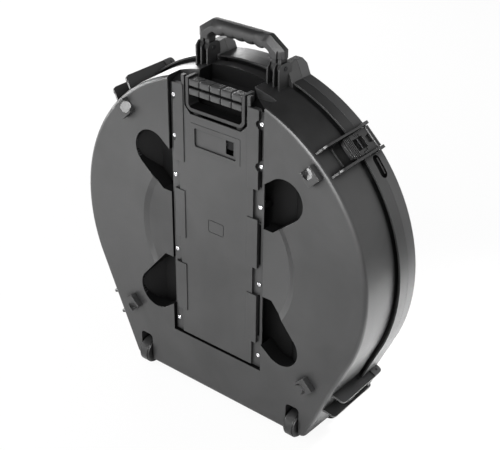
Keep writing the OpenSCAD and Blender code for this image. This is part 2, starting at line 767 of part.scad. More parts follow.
module rim_gasket() {
    color("#1c1c1e") difference() {
        wall_solid([[-1.5, base_d - 3], [-1.5, base_d]]);
        wall_solid([[-6.5, base_d - 3 - eps], [-6.5, base_d + eps]]);
    }
}

// Inside
module base_foam_pad() {
    o = cavity_o - 3;
    color("#2e2e30") difference() {
        wall_solid([[o, seat_y], [o, seat_y + pad_t]]);
        scoop_space(wall + 1);
        well_space(wall + 1);
        y_rod(pad_hole_r, 0, far);
    }
}
module post_flange() {
    color("#8a8a8e") difference() {
        y_revolve() polygon([[0, seat_y], [pad_hole_r - 4, seat_y], [pad_hole_r - 4, seat_y + foot_t],
            [24, seat_y + foot_t], [16, post_seat], [0, post_seat]]);
        y_rod(post_r, post_low, far);
        for (a = [45:90:315]) rotate([0, a, 0]) translate([flange_screw_c, 0, 0]) y_rod(screw_hole, 0, far);
    }
}
module flange_screws() {
    color("#b8b8bc") for (a = [45:90:315]) rotate([0, a, 0]) translate([flange_screw_c, 0, 0]) {
        y_rod(screw_r, channel_d + 1, wall - 1 + foot_t + 0.5);
        y_rod(3.6, seat_y + foot_t, 2.4);
    }
}
module centre_post() { color("#b0b0b4") y_rod(post_r, post_low, post_high - post_low); }
module felt(y0) {
    color("#c9c4b8") difference() {
        y_rod(felt_r, y0, felt_t);
        y_rod(post_r + 0.4, y0 - eps, felt_t + 2 * eps);
    }
}
module lower_felt() { felt(post_seat); }
module upper_felt() { felt(post_seat + felt_t); }
module retaining_knob() {
    color("#2c2c2e") difference() {
        union() {
            y_rod(16, knob_y, 3);
            y_rod(11, knob_y, 20);
            for (a = [0, 180]) rotate([0, a, 0]) hull() {
                translate([8, knob_y + 3, -3]) cube([2, 15, 6]);
                translate([24, knob_y + 17, 0]) sphere(r = 5, $fn = 32);
            }
        }
        y_rod(post_r + run_fit, knob_y - eps, far);
    }
}

// Latches
module latch_plate(i) {
    low = lever_pin_rad - 3;
    top = lever_pin_rad + 3.5;
    color("#4e4e50") at_latch(i) difference() {
        union() {
            box([-latch_hw, lever_pin_y + 3, low], [latch_hw, plate_pin_y, top]);
            translate([0, plate_pin_y, plate_pin_rad]) x_rod(5.5, -latch_hw, 2 * latch_hw);
            both() {
                translate([0, lever_pin_y, lever_pin_rad]) x_rod(4.5, lever_arm_out + gap, knuckle_w);
                box([lever_arm_out + gap, lever_pin_y, low], [latch_hw, lever_pin_y + 4, top]);
            }
        }
        box([-lever_arm_out - gap, 0, 0], [lever_arm_out + gap, lever_pin_y + 5.5, far]);
        box([-lever_arm_in, 0, 0], [lever_arm_in, plate_window, far]);
        translate([0, 0, lever_pin_rad]) linear_extrude(far) polygon([[-8, plate_pin_y - 6.5],
            [8, plate_pin_y - 6.5], [5.5, plate_window + 6], [-5.5, plate_window + 6]]);
        translate([0, plate_pin_y, plate_pin_rad]) x_rod(plate_pin_r + run_fit, -far, 2 * far);
        translate([0, lever_pin_y, lever_pin_rad]) x_rod(lever_pin_r, -far, 2 * far);
    }
}
module lever_plan() {
    for (s = [0, 1]) mirror([s, 0]) polygon([[-eps, lever_end], [8, lever_end + 0.3], [15, lever_end + 1.2],
        [18.2, lever_end + 3.4], [lever_hw, lever_end + 7], [lever_hw, lever_pin_y - 7],
        [lever_arm_out, lever_pin_y - 7], [lever_arm_out, lever_pin_y], [lever_arm_in, lever_pin_y],
        [lever_arm_in, lever_window], [-eps, lever_window]]);
}
module latch_lever(i) {
    top = lever_pin_rad + 4;
    nose = bar_rad + bar_r + gap;
    nose_y = bar_y - bar_r - 2.3;
    color("#565658") at_latch(i) difference() {
        union() {
            translate([0, 0, top - 6]) linear_extrude(6) lever_plan();
            both() translate([0, lever_pin_y, lever_pin_rad])
                x_rod(4.5, lever_arm_in, lever_arm_out - lever_arm_in);
            box([-7, nose_y - 4.5, nose], [7, nose_y, top - 2]);
            for (k = [0:4]) translate([0, lever_end + 3.9 + 3.8 * k, 0])
                box([2 - lever_hw, 0, top - 1], [lever_hw - 2, 2, top + 1.6]);
        }
        translate([0, lever_pin_y, lever_pin_rad]) x_rod(lever_pin_r + run_fit, -far, 2 * far);
    }
}
module lever_pin(i) {
    color("#b8b8bc") at_latch(i) translate([0, lever_pin_y, lever_pin_rad])
        x_rod(lever_pin_r, -latch_hw + 0.5, 2 * latch_hw - 1);
}
module latch_plate_pins() {
    color("#b8b8bc") for (i = [0:3]) at_latch(i) translate([0, plate_pin_y, plate_pin_rad])
        x_rod(plate_pin_r, -lid_ear_in - lid_ear_t, 2 * (lid_ear_in + lid_ear_t));
}
module catch_bars() {
    color("#b8b8bc") for (i = [0:3]) at_latch(i) translate([0, bar_y, bar_rad])
        x_rod(bar_r, -cheek_in - cheek_t, 2 * (cheek_in + cheek_t));
}

// Wheels
module at_wheel(s) { translate([s * wheel_x, wheel_y, wheel_z]) children(); }
module wheel_tyre(s) {
    c = 1.5;
    h = wheel_w / 2;
    color("#4c4c4e") at_wheel(s) rotate([0, 90, 0]) rotate_extrude()
        polygon([[hub_r, -h], [wheel_r - 3, -h], [wheel_r - c, c - h], [wheel_r - c, 3.5 - h],
            [wheel_r, 3.5 - h], [wheel_r, h - 3.5], [wheel_r - c, h - 3.5], [wheel_r - c, h - c],
            [wheel_r - 3, h], [hub_r, h]]);
}
module wheel_hub(s) {
    color("#6a6a6c") at_wheel(s) rotate([0, 90, 0]) difference() {
        union() {
            cylinder(r = hub_r, h = wheel_w - 6, center = true);
            difference() {
                cylinder(r = hub_r, h = wheel_w, center = true);
                cylinder(r = hub_r - 3, h = wheel_w + 2, center = true);
            }
            cylinder(r = 8, h = well_w - 2 * gap, center = true);
        }
        cylinder(r = axle_r + run_fit, h = 2 * well_w, center = true);
    }
}
module wheel_axles() {
    color("#a8a8ac") for (s = sides) at_wheel(s) x_rod(axle_r, -well_w / 2 - wall, well_w + 2 * wall);
}

in_place() base_shell();
in_place() handle_housing();
in_place() housing_screws();
in_place() guide_tube(-1);  // guide_tube_left
in_place() guide_tube(1);  // guide_tube_right
in_place() guide_bush(-1);  // guide_bush_left
in_place() guide_bush(1);  // guide_bush_right
in_place() guide_top_clamp();
in_place() guide_bottom_clamp();
in_place() clamp_screws();
in_place() pull_handle_frame();
in_place() pull_handle_grip();
in_place() pull_tube(-1);  // pull_tube_left
in_place() pull_tube(1);  // pull_tube_right
in_place() tube_glides();
in_place() carry_handle();
in_place() carry_handle_pins();
in_place() lid_shell();
in_place() lid_foam_pad();
in_place() rim_gasket();
in_place() base_foam_pad();
in_place() post_flange();
in_place() flange_screws();
in_place() centre_post();
in_place() lower_felt();
in_place() upper_felt();
in_place() retaining_knob();
in_place() latch_plate(0);  // latch_plate_upper_right
in_place() latch_plate(1);  // latch_plate_upper_left
in_place() latch_plate(2);  // latch_plate_lower_right
in_place() latch_plate(3);  // latch_plate_lower_left
in_place() latch_lever(0);  // latch_lever_upper_right
in_place() latch_lever(1);  // latch_lever_upper_left
in_place() latch_lever(2);  // latch_lever_lower_right
in_place() latch_lever(3);  // latch_lever_lower_left
in_place() lever_pin(0);  // lever_pin_upper_right
in_place() lever_pin(1);  // lever_pin_upper_left
in_place() lever_pin(2);  // lever_pin_lower_right
in_place() lever_pin(3);  // lever_pin_lower_left
in_place() latch_plate_pins();
in_place() catch_bars();
in_place() wheel_tyre(-1);  // wheel_tyre_left
in_place() wheel_tyre(1);  // wheel_tyre_right
in_place() wheel_hub(-1);  // wheel_hub_left
in_place() wheel_hub(1);  // wheel_hub_right
in_place() wheel_axles();
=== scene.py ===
"""Looks of the cymbal case: materials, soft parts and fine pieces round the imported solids."""

import json
import math

import bmesh
import bpy
from mathutils import Matrix, Vector


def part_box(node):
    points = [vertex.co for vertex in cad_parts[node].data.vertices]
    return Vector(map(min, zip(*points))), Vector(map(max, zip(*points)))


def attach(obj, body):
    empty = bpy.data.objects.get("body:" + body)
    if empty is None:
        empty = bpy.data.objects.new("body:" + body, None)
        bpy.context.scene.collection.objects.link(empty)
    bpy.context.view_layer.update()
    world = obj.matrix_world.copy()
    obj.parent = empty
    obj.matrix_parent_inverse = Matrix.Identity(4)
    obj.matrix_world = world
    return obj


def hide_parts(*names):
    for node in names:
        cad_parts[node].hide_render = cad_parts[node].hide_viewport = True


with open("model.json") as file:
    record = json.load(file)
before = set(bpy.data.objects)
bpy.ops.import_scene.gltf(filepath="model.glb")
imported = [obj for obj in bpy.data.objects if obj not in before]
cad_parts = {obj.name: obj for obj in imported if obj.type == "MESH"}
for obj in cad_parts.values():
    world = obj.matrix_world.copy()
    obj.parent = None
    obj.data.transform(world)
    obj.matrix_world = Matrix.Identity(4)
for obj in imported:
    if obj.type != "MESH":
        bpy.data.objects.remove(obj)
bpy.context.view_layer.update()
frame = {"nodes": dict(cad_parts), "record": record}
nodes = frame["nodes"]
scene = bpy.context.scene

MM = 1000  # millimetres in a metre

# Where the case's own frame lies in the row frame, in metres. Its Y runs from the face to the lid
# and its Z up from the drum's centre
DEPTH_SHIFT = -0.076
CENTRE_Z = 0.3425


def at(x, y, z):
    """A point given in millimetres in the case's own frame, in the row frame."""
    return Vector((x / MM, y / MM + DEPTH_SHIFT, z / MM + CENTRE_Z))


# Camera and studio


def make_camera():
    """The photograph's camera, as it was fitted to the case."""
    right = Vector((0.7801, 0.6256, 0.0096)).normalized()
    back = Vector((0.5378, -0.6783, 0.5006)).normalized()
    up = back.cross(right).normalized()
    right = up.cross(back).normalized()
    data = bpy.data.cameras.new("view")
    data.sensor_width = 36
    data.lens = 78.73
    data.clip_start = 0.05
    data.clip_end = 50
    cam = bpy.data.objects.new("view", data)
    scene.collection.objects.link(cam)
    turn = Matrix((right, up, back)).transposed().to_4x4()
    cam.matrix_world = Matrix.Translation(at(1099.0, -1286.2, 1027.4)) @ turn
    scene.camera = cam


def aimed(name, data, place, target, roll=0.0):
    """A lamp at place that faces target, turned about its own axis by roll degrees."""
    lamp = bpy.data.objects.new(name, data)
    scene.collection.objects.link(lamp)
    lamp.location = place
    lamp.rotation_mode = "QUATERNION"
    facing = (Vector(target) - Vector(place)).to_track_quat("-Z", "Y")
    lamp.rotation_quaternion = facing @ Matrix.Rotation(math.radians(roll), 3, "Z").to_quaternion()
    return lamp


def area_light(name, place, target, size, power, glossy=True, matt=True, roll=0.0):
    """A softbox. Without glossy no reflection shows it, and without matt it lights nothing diffuse."""
    data = bpy.data.lights.new(name, "AREA")
    data.shape = "RECTANGLE"
    data.size, data.size_y = size
    data.energy = power
    lamp = aimed(name, data, place, target, roll)
    lamp.visible_glossy = glossy
    lamp.visible_diffuse = matt


def floor_spot(name, place, target, cone, power):
    """A soft-edged pool of light on the floor, which the glossy sides reflect."""
    data = bpy.data.lights.new(name, "SPOT")
    data.energy = power
    data.spot_size = math.radians(cone)
    data.spot_blend = 1.0
    data.shadow_soft_size = 0.2
    lamp = aimed(name, data, place, target)
    lamp.visible_glossy = False


def background(tree, strength):
    """A white background shader."""
    node = tree.nodes.new("ShaderNodeBackground")
    node.inputs["Color"].default_value = (1, 1, 1, 1)
    node.inputs["Strength"].default_value = strength
    return node


def mixed(tree, factor, one, two):
    """Two shaders mixed by factor."""
    node = tree.nodes.new("ShaderNodeMixShader")
    for socket, source in zip(node.inputs, (factor, one, two)):
        tree.links.new(source, socket)
    return node.outputs[0]


def make_world():
    """Even light for diffuse rays; reflections see a studio that darkens upwards and to the left."""
    world = bpy.data.worlds.new("studio")
    scene.world = world
    world.use_nodes = True
    tree = world.node_tree
    tree.nodes.clear()
    out = tree.nodes.new("ShaderNodeOutputWorld")
    path = tree.nodes.new("ShaderNodeLightPath")
    soft = background(tree, 0.5)
    white = background(tree, 1.0)
    studio = background(tree, 1.0)
    coord = tree.nodes.new("ShaderNodeTexCoord")
    slope = tree.nodes.new("ShaderNodeVectorMath")
    slope.operation = "DOT_PRODUCT"
    slope.inputs[1].default_value = (-0.4, 0.0, 1.0)
    ramp = tree.nodes.new("ShaderNodeValToRGB")
    stops = ((0.2, 1.0), (0.42, 0.45), (0.55, 0.12), (0.75, 0.02))
    while len(ramp.color_ramp.elements) < len(stops):
        ramp.color_ramp.elements.new(0.5)
    for stop, (place, tone) in zip(ramp.color_ramp.elements, stops):
        stop.position = place
        stop.color = (tone, tone, tone, 1)
    tree.links.new(coord.outputs["Generated"], slope.inputs[0])
    tree.links.new(slope.outputs["Value"], ramp.inputs[0])
    tree.links.new(ramp.outputs[0], studio.inputs["Color"])
    lit = mixed(tree, path.outputs["Is Glossy Ray"], soft.outputs[0], studio.outputs[0])
    seen = mixed(tree, path.outputs["Is Camera Ray"], lit, white.outputs[0])
    tree.links.new(seen, out.inputs[0])


def make_floor():
    """A matt white floor, which also glows for the camera and, weakly, for reflections."""
    half, sunk = 12.0, 0.0005
    camera_glow, glossy_glow = 0.93, 0.05
    corners = [(-half, -half, 0), (half, -half, 0), (half, half, 0), (-half, half, 0)]
    mesh = bpy.data.meshes.new("floor")
    mesh.from_pydata(corners, [], [(0, 1, 2, 3)])
    floor = bpy.data.objects.new("floor", mesh)
    floor.location.z = -sunk
    scene.collection.objects.link(floor)
    mat = bpy.data.materials.new("floor_white")
    mat.use_nodes = True
    tree = mat.node_tree
    tree.nodes.clear()
    out = tree.nodes.new("ShaderNodeOutputMaterial")
    diffuse = tree.nodes.new("ShaderNodeBsdfDiffuse")
    diffuse.inputs["Color"].default_value = (0.9, 0.9, 0.9, 1)
    glow = tree.nodes.new("ShaderNodeEmission")
    glow.inputs["Strength"].default_value = 1.0
    path = tree.nodes.new("ShaderNodeLightPath")
    seen = tree.nodes.new("ShaderNodeMath")
    seen.operation = "MULTIPLY"
    seen.inputs[1].default_value = camera_glow
    tree.links.new(path.outputs["Is Camera Ray"], seen.inputs[0])
    share = tree.nodes.new("ShaderNodeMath")
    share.operation = "MULTIPLY_ADD"
    share.inputs[1].default_value = glossy_glow
    tree.links.new(path.outputs["Is Glossy Ray"], share.inputs[0])
    tree.links.new(seen.outputs[0], share.inputs[2])
    glowing = mixed(tree, share.outputs[0], diffuse.outputs[0], glow.outputs[0])
    tree.links.new(glowing, out.inputs[0])
    mesh.materials.append(mat)


# Materials

WHITE = (1.0, 1.0, 1.0)
# Painted shade on reflections: the specular tint in crevices
PAINTED_SHADE_TINT = (0.02, 0.02, 0.02)  # what a crevice leaves of the reflections
RAYS = 6  # tries of the shader nodes that look round a point

# Widths of rounded edges and heights of grains, in metres
EDGE_R = 0.0008
METAL_EDGE_R = 0.0004
GRAIN_H = 0.0002
BRUSH_H = 0.0001
PORE_H = 0.0006

# Depths between which the feet end and the painted shade of the shell's crevices begins, in metres in the
# row frame
FEET_Y = (-0.0775, -0.0765)

# Radius and depth of the shallow bowl that the dish's normals show
BOWL_R = 0.178
BOWL_DEPTH = 0.026


class Nodes:
    """A material's node tree, with short calls for the nodes that the finishes share."""

    def __init__(self, name):
        self.mat = bpy.data.materials.new(name)
        self.mat.use_nodes = True
        self.tree = self.mat.node_tree
        self.bsdf = self.tree.nodes["Principled BSDF"]
        self.coord = self.tree.nodes.new("ShaderNodeTexCoord")

    def link(self, a, b):
        self.tree.links.new(a, b)

    def noise(self, scale, detail, rough, distort=0.0, stretch=None):
        """Noise in the object's coordinates, drawn out along an axis whose value in stretch is small."""
        node = self.tree.nodes.new("ShaderNodeTexNoise")
        node.inputs["Scale"].default_value = scale
        node.inputs["Detail"].default_value = detail
        node.inputs["Roughness"].default_value = rough
        node.inputs["Distortion"].default_value = distort
        source = self.coord.outputs["Object"]
        if stretch:
            mapping = self.tree.nodes.new("ShaderNodeMapping")
            mapping.inputs["Scale"].default_value = stretch
            self.link(source, mapping.inputs["Vector"])
            source = mapping.outputs[0]
        self.link(source, node.inputs["Vector"])
        return node.outputs["Fac"]

    def ramp(self, value, low, high, a, b):
        """a where value is low, b where it is high, and evenly between."""
        node = self.tree.nodes.new("ShaderNodeMapRange")
        node.inputs["From Min"].default_value = low
        node.inputs["From Max"].default_value = high
        node.inputs["To Min"].default_value = a
        node.inputs["To Max"].default_value = b
        self.link(value, node.inputs["Value"])
        return node.outputs[0]

    def mix(self, factor, a, b):
        """Two colours, each a tuple or a socket, mixed by a socket."""
        node = self.tree.nodes.new("ShaderNodeMix")
        node.data_type = "RGBA"
        self.link(factor, node.inputs["Factor"])
        for socket, value in ((node.inputs[6], a), (node.inputs[7], b)):
            if isinstance(value, tuple):
                socket.default_value = (*value, 1)
            else:
                self.link(value, socket)
        return node.outputs[2]

    def math(self, kind, a, b):
        """One step of arithmetic on a socket and a socket or number."""
        node = self.tree.nodes.new("ShaderNodeMath")
        node.operation = kind
        self.link(a, node.inputs[0])
        if isinstance(b, (int, float)):
            node.inputs[1].default_value = b
        else:
            self.link(b, node.inputs[1])
        return node.outputs[0]

    def edge(self, radius):
        """The normal of the surface as if its edges were rounded."""
        node = self.tree.nodes.new("ShaderNodeBevel")
        node.samples = RAYS
        node.inputs["Radius"].default_value = radius
        return node.outputs[0]

    def edge_mask(self, rounded, low, high):
        """1 on the edges and 0 on the flats, from how far the rounded normal turns away."""
        geometry = self.tree.nodes.new("ShaderNodeNewGeometry")
        dot = self.tree.nodes.new("ShaderNodeVectorMath")
        dot.operation = "DOT_PRODUCT"
        self.link(rounded, dot.inputs[0])
        self.link(geometry.outputs["Normal"], dot.inputs[1])
        return self.ramp(dot.outputs["Value"], high, low, 0.0, 1.0)

    def painted_shade(self, reach, most):
        """How much what stands round a place encloses it, up to most: the mask of the painted shade."""
        node = self.tree.nodes.new("ShaderNodeAmbientOcclusion")
        node.samples = RAYS
        node.inputs["Distance"].default_value = reach
        return self.ramp(node.outputs["AO"], 0.35, 0.9, most, 0.0)

    def depth(self):
        """Object coordinate along the case's depth."""
        node = self.tree.nodes.new("ShaderNodeSeparateXYZ")
        self.link(self.coord.outputs["Object"], node.inputs[0])
        return node.outputs["Y"]

    def radius(self):
        """Distance from the drum's axis."""
        mapping = self.tree.nodes.new("ShaderNodeMapping")
        mapping.inputs["Location"].default_value = (0, 0, -CENTRE_Z)
        mapping.inputs["Scale"].default_value = (1, 0, 1)
        self.link(self.coord.outputs["Object"], mapping.inputs["Vector"])
        length = self.tree.nodes.new("ShaderNodeVectorMath")
        length.operation = "LENGTH"
        self.link(mapping.outputs[0], length.inputs[0])
        return length.outputs["Value"]

    def bowl(self, radius, depth):
        """Height of a shallow bowl about the drum's axis, which the light on the dish shows."""
        share = self.math("MINIMUM", self.math("DIVIDE", self.radius(), radius), 1.0)
        return self.math("MULTIPLY", self.math("POWER", share, 2.0), depth)

    def bump(self, height, strength, distance, normal=None):
        """The normal of the surface with a relief on it."""
        node = self.tree.nodes.new("ShaderNodeBump")
        node.inputs["Strength"].default_value = strength
        node.inputs["Distance"].default_value = distance
        self.link(height, node.inputs["Height"])
        if normal is not None:
            self.link(normal, node.inputs["Normal"])
        return node.outputs[0]


def shade(tone, by, lift=0.0):
    """A tone made darker or lighter."""
    return tuple(min(1.0, c * by + lift) for c in tone)


def moulded(name, tone, rough, grain=0.12, gloss=0.9, dished=False):
    """Moulded plastic: a fine spark-eroded grain, a cloudy sheen, crevices darkened as painted shade,
    and edges lightened both as wear and as a painted highlight.

    A dished one keeps the painted shade of the crevices off the feet, and its normals show the bowl.
    """
    n = Nodes(name)
    uneven, wear_and_highlight = 0.25, 0.3
    cloud = n.noise(4.5, 4.0, 0.6, 0.6)
    fine = n.noise(2600.0, 2.0, 0.6)
    smear = n.noise(22.0, 5.0, 0.6, 0.8, (1.0, 1.0, 0.35))
    clouded = n.ramp(cloud, 0.3, 0.7, 0.0, 1.0)
    colour = n.mix(clouded, shade(tone, 1 - uneven), shade(tone, 1 + uneven))
    rounded = n.edge(EDGE_R)
    smeared = n.ramp(smear, 0.35, 0.7, 0.2, 1.0)
    # Edges lightened both as rubbed wear and as a painted highlight
    rubbed_and_highlit = n.math("MULTIPLY", n.edge_mask(rounded, 0.80, 0.995), smeared)
    colour = n.mix(n.math("MULTIPLY", rubbed_and_highlit, wear_and_highlight), colour, shade(tone, 2.2, 0.01))
    # Painted shade: crevices darken the colour to a fifth of the tone and dim the reflections
    painted_shade = n.painted_shade(0.014, 0.85)
    if dished:
        painted_shade = n.math("MULTIPLY", painted_shade, n.ramp(n.depth(), *FEET_Y, 0.0, 1.0))
    colour = n.mix(painted_shade, colour, shade(tone, 0.2))
    n.link(colour, n.bsdf.inputs["Base Color"])
    veil = n.ramp(n.math("ADD", smear, cloud), 0.7, 1.3, rough - 0.05, rough + 0.08)
    veil = n.math("ADD", veil, n.math("MULTIPLY", painted_shade, 0.3))
    n.link(veil, n.bsdf.inputs["Roughness"])
    n.bsdf.inputs["Specular IOR Level"].default_value = gloss
    patches = n.math("ADD", cloud, n.math("MULTIPLY", smear, 0.4))
    haze = n.mix(n.ramp(patches, 0.5, 0.9, 0.0, 1.0), (0.80, 0.80, 0.80), WHITE)
    # Painted shade on the reflections in crevices
    n.link(n.mix(painted_shade, haze, PAINTED_SHADE_TINT), n.bsdf.inputs["Specular Tint"])
    if dished:
        rounded = n.bump(n.bowl(BOWL_R, BOWL_DEPTH), 1.0, 1.0, rounded)
    n.link(n.bump(fine, grain, GRAIN_H, rounded), n.bsdf.inputs["Normal"])
    return n.mat


def rubber(name, tone, rough, round_r=EDGE_R, dusty=0.5, uneven=0.07):
    """Rubber: dusty patches, a fine grain and crevices darkened as painted shade."""
    n = Nodes(name)
    dust = n.noise(60.0, 5.0, 0.6, 0.4)
    fine = n.noise(1500.0, 3.0, 0.6)
    colour = n.mix(n.ramp(dust, 0.45, 0.8, 0.0, dusty), tone, shade(tone, 1.8, 0.01))
    # Painted shade: crevices darken the colour to a tenth of the tone and dim the reflections
    painted_shade = n.painted_shade(0.007, 0.95)
    colour = n.mix(painted_shade, colour, shade(tone, 0.1))
    n.link(n.mix(painted_shade, WHITE, PAINTED_SHADE_TINT), n.bsdf.inputs["Specular Tint"])
    n.link(colour, n.bsdf.inputs["Base Color"])
    n.link(n.ramp(dust, 0.3, 0.7, rough - uneven, rough + uneven), n.bsdf.inputs["Roughness"])
    n.link(n.bump(fine, 0.18, GRAIN_H, n.edge(round_r)), n.bsdf.inputs["Normal"])
    return n.mat


def metal(name, tone, rough, brushed=None, scale=400.0, bump=0.06, corner_shade=0.0):
    """Metal with fine lines, a haze and, where asked for, painted shade in its corners."""
    n = Nodes(name)
    line = n.noise(scale, 3.0, 0.6, 0.0, brushed)
    haze = n.noise(40.0, 4.0, 0.55)
    colour = n.mix(n.ramp(haze, 0.3, 0.7, 0.0, 1.0), shade(tone, 0.86), tone)
    # Painted shade: occluded corners darkened nearly to black
    if corner_shade:
        colour = n.mix(n.painted_shade(0.004, corner_shade), colour, (0.01, 0.01, 0.01))
    n.link(colour, n.bsdf.inputs["Base Color"])
    n.bsdf.inputs["Metallic"].default_value = 1.0
    sheen = n.ramp(line, 0.2, 0.8, max(0.05, rough - 0.07), rough + 0.1)
    n.link(sheen, n.bsdf.inputs["Roughness"])
    n.link(n.bump(line, bump, BRUSH_H, n.edge(METAL_EDGE_R)), n.bsdf.inputs["Normal"])
    return n.mat


def cloth(name, tone, grain_scale, strength, sheen):
    """Foam or felt: open pores or matted fibres."""
    n = Nodes(name)
    pores = n.noise(grain_scale, 4.0, 0.7)
    cloud = n.noise(12.0, 4.0, 0.5)
    colour = n.mix(n.ramp(pores, 0.3, 0.7, 0.0, 1.0), shade(tone, 0.65), tone)
    colour = n.mix(n.ramp(cloud, 0.3, 0.7, 0.0, 0.35), colour, shade(tone, 1.25))
    n.link(colour, n.bsdf.inputs["Base Color"])
    n.bsdf.inputs["Roughness"].default_value = 0.95
    n.bsdf.inputs["Sheen Weight"].default_value = sheen
    n.link(n.bump(pores, strength, PORE_H), n.bsdf.inputs["Normal"])
    return n.mat


ALONG_Z = (1.0, 1.0, 0.02)
finishes = {
    "shell_plastic": moulded("shell_plastic", (0.015, 0.015, 0.0155), 0.38, dished=True),
    "panel_plastic": moulded("panel_plastic", (0.017, 0.017, 0.0175), 0.36),
    "handle_plastic": moulded("handle_plastic", (0.018, 0.018, 0.0185), 0.44, gloss=0.6),
    "latch_plastic": moulded("latch_plastic", (0.016, 0.016, 0.0165), 0.34, grain=0.04),
    "black_plastic": moulded("black_plastic", (0.006, 0.006, 0.0065), 0.45, gloss=0.15),
    "hub_plastic": moulded("hub_plastic", (0.02, 0.02, 0.0205), 0.42),
    "grip_rubber": rubber("grip_rubber", (0.05, 0.05, 0.0505), 0.24, dusty=0.12, uneven=0.02),
    "wheel_rubber": rubber("wheel_rubber", (0.018, 0.018, 0.0185), 0.36, round_r=0.0015),
    "gasket_rubber": rubber("gasket_rubber", (0.01, 0.01, 0.01), 0.6),
    "tube_aluminium": metal("tube_aluminium", (0.75, 0.75, 0.77), 0.28, ALONG_Z),
    "guide_aluminium": metal("guide_aluminium", (0.6, 0.6, 0.62), 0.36, ALONG_Z),
    # The screws' heads carry painted shade in their recesses and round their rims
    "screw_steel": metal("screw_steel", (0.83, 0.83, 0.85), 0.16, scale=900.0, bump=0.03, corner_shade=0.95),
    "pin_steel": metal("pin_steel", (0.05, 0.05, 0.052), 0.42, (0.05, 1.0, 1.0), bump=0.015),
    "post_steel": metal("post_steel", (0.58, 0.59, 0.6), 0.3, (1.0, 0.05, 1.0)),
    "foam": cloth("foam", (0.03, 0.03, 0.031), 900.0, 0.6, 0.1),
    "felt": cloth("felt", (0.55, 0.52, 0.44), 500.0, 0.5, 0.5),
}
slot_of = {s["node"]: s["material_slot"] for s in frame["record"]["subparts"]}
for name, obj in nodes.items():
    obj.data.materials.clear()
    obj.data.materials.append(finishes[slot_of[name]])
    for poly in obj.data.polygons:
        poly.material_index = 0

# The lid's plastic is a little paler than the base's, as in the photograph
nodes["lid_shell"].data.materials[0] = moulded("lid_plastic", (0.045, 0.045, 0.046), 0.40)

# Seen only through the label's tab, where the photograph is black: the dark steel paints the shade inside
# the tab
nodes["clamp_screws"].data.materials[0] = finishes["pin_steel"]


# Hollows, whose walls and floors the photograph shows almost black, take a near-black dull copy of
# the plastic as painted shade. Sizes are in metres in the row frame, but the rim hollows' depth
# INLAY_Y is in the case's own

HOLLOW_FRONT = -0.0722  # just behind the dish's floor

# The channel and pockets behind the dish
CHANNEL_BACK = -0.0405
CHANNEL_R = 0.308

# The scoop above the channel
SCOOP_HALF = 0.0605
SCOOP_Z = 0.588
SCOOP_BACK = -0.0095
SCOOP_R = 0.3195

# The two long hollows across the rim: where they lie round the drum, in degrees, and their box there
INLAY_TURN = 38.3
INLAY_FLOOR, INLAY_MOUTH = 0.329, 0.3345
INLAY_HALF = 0.0215
INLAY_Y = 0.1133
INLAY_HALF_Y = 0.009

UPWARD = 0.7  # least rise of the normal of a face that looks up


def in_hollow(p):
    """Whether a point lies in the channel, a pocket or the scoop."""
    radius = math.hypot(p.x, p.z - CENTRE_Z)
    if HOLLOW_FRONT < p.y < CHANNEL_BACK and radius < CHANNEL_R:
        return True
    inside = abs(p.x) < SCOOP_HALF and p.z > SCOOP_Z
    return inside and HOLLOW_FRONT < p.y < SCOOP_BACK and radius < SCOOP_R


def in_inlay(p):
    """Whether a point lies in one of the two long hollows across the rim."""
    turn = math.radians(INLAY_TURN)
    side, rise = abs(p.x), p.z - CENTRE_Z
    out = side * math.cos(turn) + rise * math.sin(turn)
    along = rise * math.cos(turn) - side * math.sin(turn)
    near = abs(p.y - INLAY_Y - DEPTH_SHIFT) < INLAY_HALF_Y
    return near and INLAY_FLOOR < out < INLAY_MOUTH and abs(along) < INLAY_HALF


# Painted shade: a near-black, almost unglossy copy of the plastic
hollow_shade = moulded("hollow_painted_shade", (0.005, 0.005, 0.0052), 0.5, gloss=0.12)
grip_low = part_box("pull_handle_grip")[0].z


def shadowed(face):
    """Whether a face is an upper side of the pull handle below its grip, in the channel's shadow."""
    return face.normal.z > UPWARD and face.center.z < grip_low


def blacken(node, test):
    """Gives the faces of a node that pass test the near-black painted shade of the hollows."""
    mesh = nodes[node].data
    mesh.materials.append(hollow_shade)
    for face in mesh.polygons:
        if test(face):
            face.material_index = 1


# Painted shade on the channel, pockets, scoop and rim slots, and on the pull handle's upper sides under its
# grip
blacken("base_shell", lambda face: in_hollow(face.center) or in_inlay(face.center))
blacken("pull_handle_frame", shadowed)
blacken("lid_shell", lambda face: in_inlay(face.center))


# Pieces. Sizes are in millimetres in the case's own frame, and in metres where a modifier takes them


def new_object(name, mesh, finish, body, replaced=()):
    """A piece in a finish that rides a body and may stand for nodes."""
    obj = bpy.data.objects.new(name, mesh)
    scene.collection.objects.link(obj)
    mesh.materials.clear()
    mesh.materials.append(finishes[finish])
    for poly in mesh.polygons:
        poly.use_smooth = True
        poly.material_index = 0
    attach(obj, body)
    if replaced:
        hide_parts(*replaced)
    return obj


def apply_modifiers(obj):
    """Bakes an object's modifiers into its mesh."""
    bpy.context.view_layer.update()
    graph = bpy.context.evaluated_depsgraph_get()
    mesh = bpy.data.meshes.new_from_object(obj.evaluated_get(graph))
    old = obj.data
    obj.modifiers.clear()
    obj.data = mesh
    bpy.data.meshes.remove(old)


def from_bmesh(name, bm):
    """A mesh with its normals outwards."""
    mesh = bpy.data.meshes.new(name)
    bmesh.ops.recalc_face_normals(bm, faces=bm.faces)
    bm.to_mesh(mesh)
    bm.free()
    return mesh


def sharp_shading(obj, angle):
    """Smooth shading that keeps edges sharper than angle, in degrees."""
    bm = bmesh.new()
    bm.from_mesh(obj.data)
    for edge in bm.edges:
        if len(edge.link_faces) == 2:
            edge.smooth = edge.calc_face_angle(0.0) < math.radians(angle)
    for face in bm.faces:
        face.smooth = True
    bm.to_mesh(obj.data)
    bm.free()


